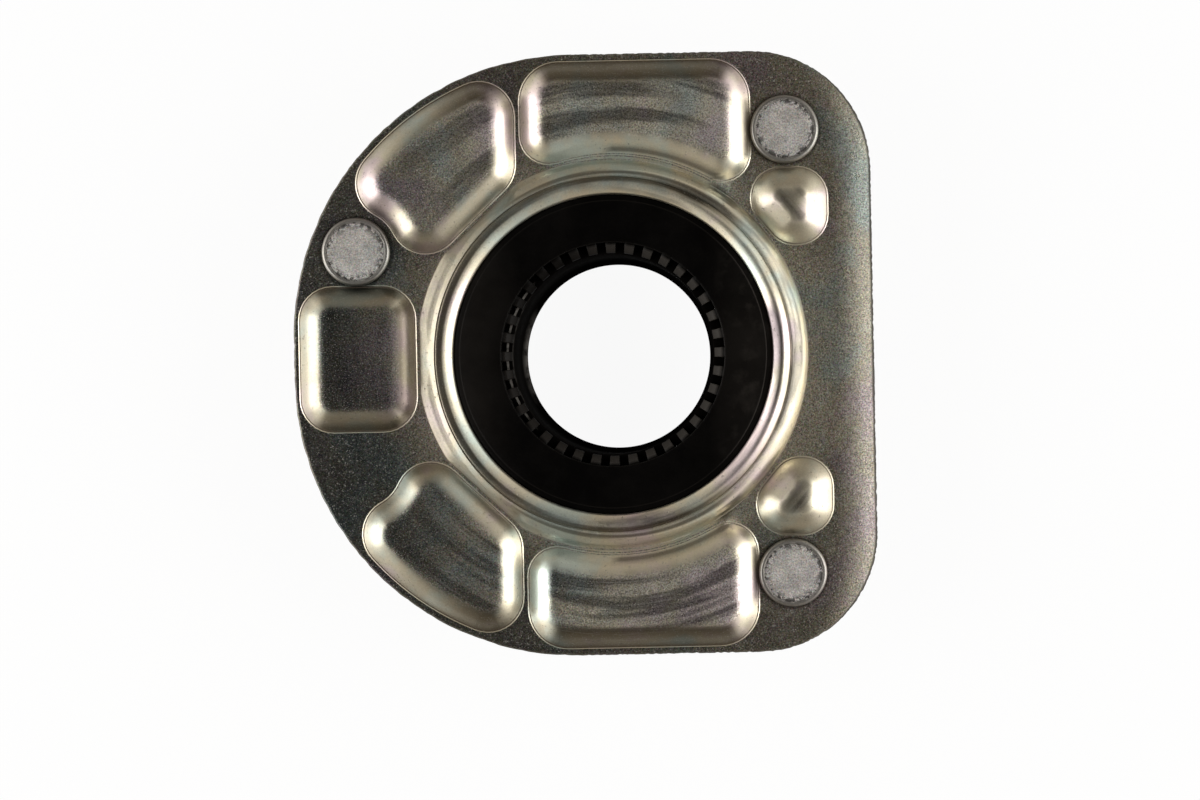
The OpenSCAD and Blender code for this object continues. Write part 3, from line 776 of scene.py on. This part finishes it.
# Painted light on the rib tops, paler on the right and weaker round the upper left
rib = mix(tree, ramp(tree, from_left, -0.026, 0.028), RIB_SHADED, RIB_LIT)
away = vector(tree, "DISTANCE", place, DIM_RIBS_AT)["Value"]
rib_light = times(tree, carried(tree, "rib_top"), ramp(tree, away, 0.007, 0.018, 0.2, 0.9))
tree.links.new(mix(tree, rib_light, colour, rib), shader["Base Color"])
tree.links.new(ramp(tree, layer["Mask"], 0, 1, 0.34, 0.6), shader["Roughness"])
shader["Specular IOR Level"].default_value = 0.05
tree.links.new(bump(tree, layer["Height"], 0.00004, 0.6), shader["Normal"])
dress(rubber, black, "rubber_bush")


# The sleeve: a steel tube turned to length, with a lip left at its far end. The black coat that bonds the
# rubber to it covers it. On the left only, it is bare steel on its end between the ribs and on the lip's
# edge:
# a painted glint of light.
COAT_BLACK, COAT_DUST = rgb(0.0015, 0.0012, 0.001), rgb(0.005, 0.0042, 0.0035)
BARE_STEEL = rgb(0.5, 0.47, 0.43)
# Radius, height along the bush's axis, and how bare the steel is
SLEEVE_ROWS = [
    (26.1, 1.1, 0), (26.2, 1.38, 0.1), (26.45, 1.5, 0), (27.3, 1.5, 0), (27.4, 1.5, 1), (27.85, 1.5, 1),
    (27.95, 1.5, 0), (28.7, 1.5, 0), (28.95, 1.4, 0), (28.98, 1.1, 0), (28.98, -27, 0), (28.6, -27.5, 0),
    (25.3, -27.5, 0.2), (24.95, -27.35, 0.6), (24.8, -27, 0.6), (24.8, -25.3, 0.3), (24.9, -25.05, 0.9),
    (25.1, -24.9, 0.5), (25.9, -23.95, 0.1), (26.1, -23.5, 0), (26.1, -12, 0), (26.1, 1.1, 0)]
rings = [[leaning(r, a, w) for a in turn_angles] for r, w, _ in SLEEVE_ROWS]
sleeve = finish(loft("sleeve", rings, bare=[bare for *_, bare in SLEEVE_ROWS]), "sleeve", 40)
coated, tree, shader, place = material("coated_steel")
# Bare steel, on the left only, as a painted glint in the pockets between the ribs and on the lip
wear_and_glint = times(tree, carried(tree, "bare"), ramp(tree, noise(tree, place, 420, 3), 0.3, 0.55))
wear_and_glint = times(tree, wear_and_glint, ramp(tree, apart(tree, place)["X"], -0.02, -0.026))
layer = use(tree, dust, place=place, amount=0.4)
colour = mix(tree, layer["Mask"], COAT_BLACK, COAT_DUST)
tree.links.new(mix(tree, wear_and_glint, colour, BARE_STEEL), shader["Base Color"])
tree.links.new(wear_and_glint, shader["Metallic"])
tree.links.new(ramp(tree, wear_and_glint, 0, 1, 0.85, 0.35), shader["Roughness"])
shader["Specular IOR Level"].default_value = 0.01
tree.links.new(bump(tree, layer["Height"], 0.00002, 0.5), shader["Normal"])
dress(sleeve, coated, "inner_sleeve")


# The studs: cold-headed steel, pushed through the plate from the spring side so that the knurled collar under
# the head bites into the sheet. The thread is rolled, and the dull plating is chipped dark round the head.
STUD_R, STUD_END, HEAD_POINTS = 5.0, -30.0, 96
THREAD_PITCH, THREAD_DEPTH, THREAD_TURNS, THREAD_STEPS = 1.5, 0.8, 21, 48
THREAD_ROOT, THREAD_START, THREAD_TOP = STUD_R - THREAD_DEPTH, STUD_END - 2 * THREAD_PITCH, -1.2
POINT_R, POINT_SLOPE = 4.0, 0.9
RUN_OUT_FROM, RUN_OUT_TO, RUN_OUT_DEPTH = -3.4, -1.4, 0.7
# Radius and height: the head from its middle outwards, the collar, and the neck that the thread starts on
HEAD_ROWS = [
    (0.05, 4.34), (3, 4.34), (5.5, 4.34), (6.95, 4.335), (7.15, 4.31), (7.3, 4.3), (7.45, 4.32), (7.65, 4.38),
    (7.85, 4.41), (8.1, 4.4), (8.3, 4.35), (8.48, 4.24), (8.64, 4.08), (8.78, 3.84), (8.87, 3.5), (8.88, 3.1),
    (8.82, 2.75), (8.65, 2.5), (COLLAR_R, 2.5), (COLLAR_R, 0.02), (5.2, -0.03), (4.95, -0.2), (4.55, -0.5),
    (4.5, -0.8), (4.5, -1.6)]
# Radius and rise along one tooth of the thread
TOOTH = [
    (THREAD_ROOT, 0), (THREAD_ROOT, 0.15), (STUD_R - 0.12, 0.62), (STUD_R, 0.7), (STUD_R, 0.85),
    (STUD_R - 0.12, 0.93), (THREAD_ROOT, 1.4), (THREAD_ROOT, THREAD_PITCH)]


def rolled_thread():
    """A thread on the axis: one tooth, turned round and up, cut off square at both ends."""
    deselect()
    bpy.ops.mesh.primitive_plane_add(size=1)
    thread = bpy.context.object
    bpy.ops.object.mode_set(mode="EDIT")
    bpy.ops.mesh.select_all(action="SELECT")
    bpy.ops.mesh.merge(type="CENTER")
    shape = bmesh.from_edit_mesh(thread.data)
    shape.verts.ensure_lookup_table()
    shape.verts[0].co = Vector((TOOTH[0][0], 0, THREAD_START + TOOTH[0][1])) * MM
    bmesh.update_edit_mesh(thread.data)
    for (r0, z0), (r1, z1) in zip(TOOTH, TOOTH[1:]):
        step = ((r1 - r0) * MM, 0, (z1 - z0) * MM)
        bpy.ops.mesh.extrude_vertices_move(TRANSFORM_OT_translate={"value": step})
    bpy.ops.object.mode_set(mode="OBJECT")
    turning = thread.modifiers.new("turning", "SCREW")
    turning.axis = "Z"
    turning.angle = 2 * pi
    turning.screw_offset = THREAD_PITCH * MM
    turning.iterations = THREAD_TURNS
    turning.steps = turning.render_steps = THREAD_STEPS
    turning.use_merge_vertices = True
    turning.merge_threshold = 1e-6
    bpy.ops.object.modifier_apply(modifier="turning")
    bpy.ops.object.mode_set(mode="EDIT")
    bpy.ops.mesh.select_all(action="SELECT")
    bpy.ops.mesh.remove_doubles(threshold=2e-6)
    for height, below in ((STUD_END, True), (THREAD_TOP, False)):
        bpy.ops.mesh.select_all(action="SELECT")
        bpy.ops.mesh.bisect(
            plane_co=(0, 0, height * MM), plane_no=(0, 0, 1), use_fill=True, threshold=1e-7,
            clear_inner=below, clear_outer=not below)
    bpy.ops.mesh.select_all(action="SELECT")
    bpy.ops.mesh.fill_holes(sides=0)
    bpy.ops.object.mode_set(mode="OBJECT")
    return thread


def stud(name, x, y):
    """A stud at its place: the head and collar from rings, and a thread with a pointed end and a run-out."""
    head = loft(name, [circle(x, y, r, z, HEAD_POINTS) for r, z in HEAD_ROWS],
                cap=True, lid="NGON", reach=[r if z > SHEET else 0 for r, z in HEAD_ROWS])
    thread = rolled_thread()
    for vertex in thread.data.vertices:
        px, py, pz = vertex.co / MM
        r = hypot(px, py)
        point = POINT_R + (pz - STUD_END) * POINT_SLOPE
        run_out = STUD_R - smooth(RUN_OUT_FROM, RUN_OUT_TO, pz) * RUN_OUT_DEPTH
        held = min(r, point, run_out)
        if held < r:
            vertex.co.x = px * held / r * MM
            vertex.co.y = py * held / r * MM
        vertex.co += Vector((x, y, 0)) * MM
    return finish(join([head, thread]), name, 35)


HEAD_RIM, HEAD_FACE, CHIP = rgb(0.3, 0.285, 0.265), rgb(0.52, 0.5, 0.485), rgb(0.045, 0.042, 0.04)
plated_stud, tree, shader, place = material("plated_stud")
reach = carried(tree, "reach")
shade_and_matte = ramp(tree, reach, 7.5, 7.1)
shade = mix(tree, shade_and_matte, HEAD_RIM, HEAD_FACE)
mottling = ramp(tree, noise(tree, place, 330, 4, 0.6), 0.35, 0.65, 0.82, 1.16)
shade = mix(tree, shade_and_matte, shade, mottling, "MULTIPLY")
coating = use(
    tree, zinc, place=place, base=shade, rainbow=0.15, specks=0.7, grain=ramp(tree, shade_and_matte, 0, 1, 0.2, 0.7))
by_rim = times(tree, ramp(tree, reach, 5.4, 7.1), ramp(tree, reach, 7.9, 7.45))
chipped = times(tree, ramp(tree, noise(tree, place, 760, 5, 0.75), 0.48, 0.52), by_rim)
tree.links.new(mix(tree, times(tree, chipped, 0.9), coating["Color"], CHIP), shader["Base Color"])
tree.links.new(plus(tree, coating["Roughness"], ramp(tree, shade_and_matte, 0, 1, 0.1, 0.24)), shader["Roughness"])
coarse = times(tree, noise(tree, place, 1300, 3, 0.65), shade_and_matte)
rise = maths(tree, "SUBTRACT", plus(tree, coating["Height"], coarse), chipped)
tree.links.new(bump(tree, rise, 0.00006), shader["Normal"])
tree.links.new(ramp(tree, shade_and_matte, 0, 1, 1, 0.7), shader["Metallic"])
for name, (x, y) in zip(("stud_left", "stud_upper", "stud_lower"), STUDS):
    dress(stud(name + "_piece", x, y), plated_stud, name)


# The set: a pale floor on which the three studs stand, two tall soft lamps at the plate's left and right, and
# dim light all round.
WHITE = rgb(1, 1, 1)
FLOOR_SEEN, FLOOR_MIRRORED = 0.93, 0.3
LAMP_OUT, LAMP_Y, LAMP_UP, LAMP_POWER = 0.55, -0.05, 0.22, 2.6
LAMP_TALL, LAMP_WIDE = 0.74, 0.4
OVERHEAD, LOW, TO_RIGHT, AT_SIDES = (
    rgb(0.065, 0.065, 0.065), rgb(0.43, 0.385, 0.325), rgb(0.55, 0.53, 0.5), rgb(1.5, 1.46, 1.38))
deselect()
bpy.ops.mesh.primitive_plane_add(size=6, location=(0, 0, STUD_END * MM))
floor = bpy.context.object
floor.name = "floor"
pale, tree, shader, place = material("pale_floor")
shader["Base Color"].default_value = rgb(0.9, 0.9, 0.9)
shader["Roughness"].default_value = 0.9
glow = add(tree, "Emission", inputs={"Color": WHITE, "Strength": 1.0})
path = add(tree, "LightPath").outputs
seen = times(tree, path["Is Camera Ray"], FLOOR_SEEN)
seen = maths(tree, "MAXIMUM", seen, times(tree, path["Is Glossy Ray"], FLOOR_MIRRORED))
lit = tree.nodes["Principled BSDF"].outputs[0]
both = add(tree, "MixShader", inputs={0: seen, 1: lit, 2: glow.outputs[0]})
tree.links.new(both.outputs[0], tree.nodes["Material Output"].inputs["Surface"])
floor.data.materials.append(pale)


def put(name, data):
    """A lamp or camera, put in the scene as an object."""
    stand = bpy.data.objects.new(name, data)
    bpy.context.scene.collection.objects.link(stand)
    return stand


for name, side in (("lamp_left", -1), ("lamp_right", 1)):
    lamp = bpy.data.lights.new(name, "AREA")
    lamp.shape = "RECTANGLE"
    lamp.size = LAMP_TALL
    lamp.size_y = LAMP_WIDE
    lamp.energy = LAMP_POWER
    stand = put(name, lamp)
    stand.location = (side * LAMP_OUT, LAMP_Y, LAMP_UP)
    aim = Vector((0, LAMP_Y, 0)) - stand.location
    stand.rotation_euler = aim.to_track_quat("-Z", "X").to_euler()

world = bpy.data.worlds.new("studio")
bpy.context.scene.world = world
world.use_nodes = True
tree = world.node_tree
way = apart(tree, add(tree, "TexCoord").outputs["Generated"])
dim = mix(tree, ramp(tree, way["Z"], 0.25, 0.97), LOW, OVERHEAD)
dim = mix(tree, ramp(tree, way["X"], 0.04, 0.4, 0, 0.6), dim, TO_RIGHT)
dim = mix(tree, ramp(tree, maths(tree, "ABSOLUTE", way["X"]), 0.5, 0.9), dim, AT_SIDES)
seen = add(tree, "LightPath").outputs["Is Camera Ray"]
tree.links.new(mix(tree, seen, dim, WHITE), tree.nodes["Background"].inputs["Color"])

camera = bpy.data.cameras.new("camera")
camera.lens = 75.0
camera.sensor_width = 36.0
camera.clip_start = 0.01
viewer = put("camera", camera)
viewer.location = (-0.003746, -0.01181, 0.6525)
viewer.rotation_euler = (0, 0, radians(-1.14))
bpy.context.scene.camera = viewer
bpy.context.scene.view_settings.view_transform = "Standard"
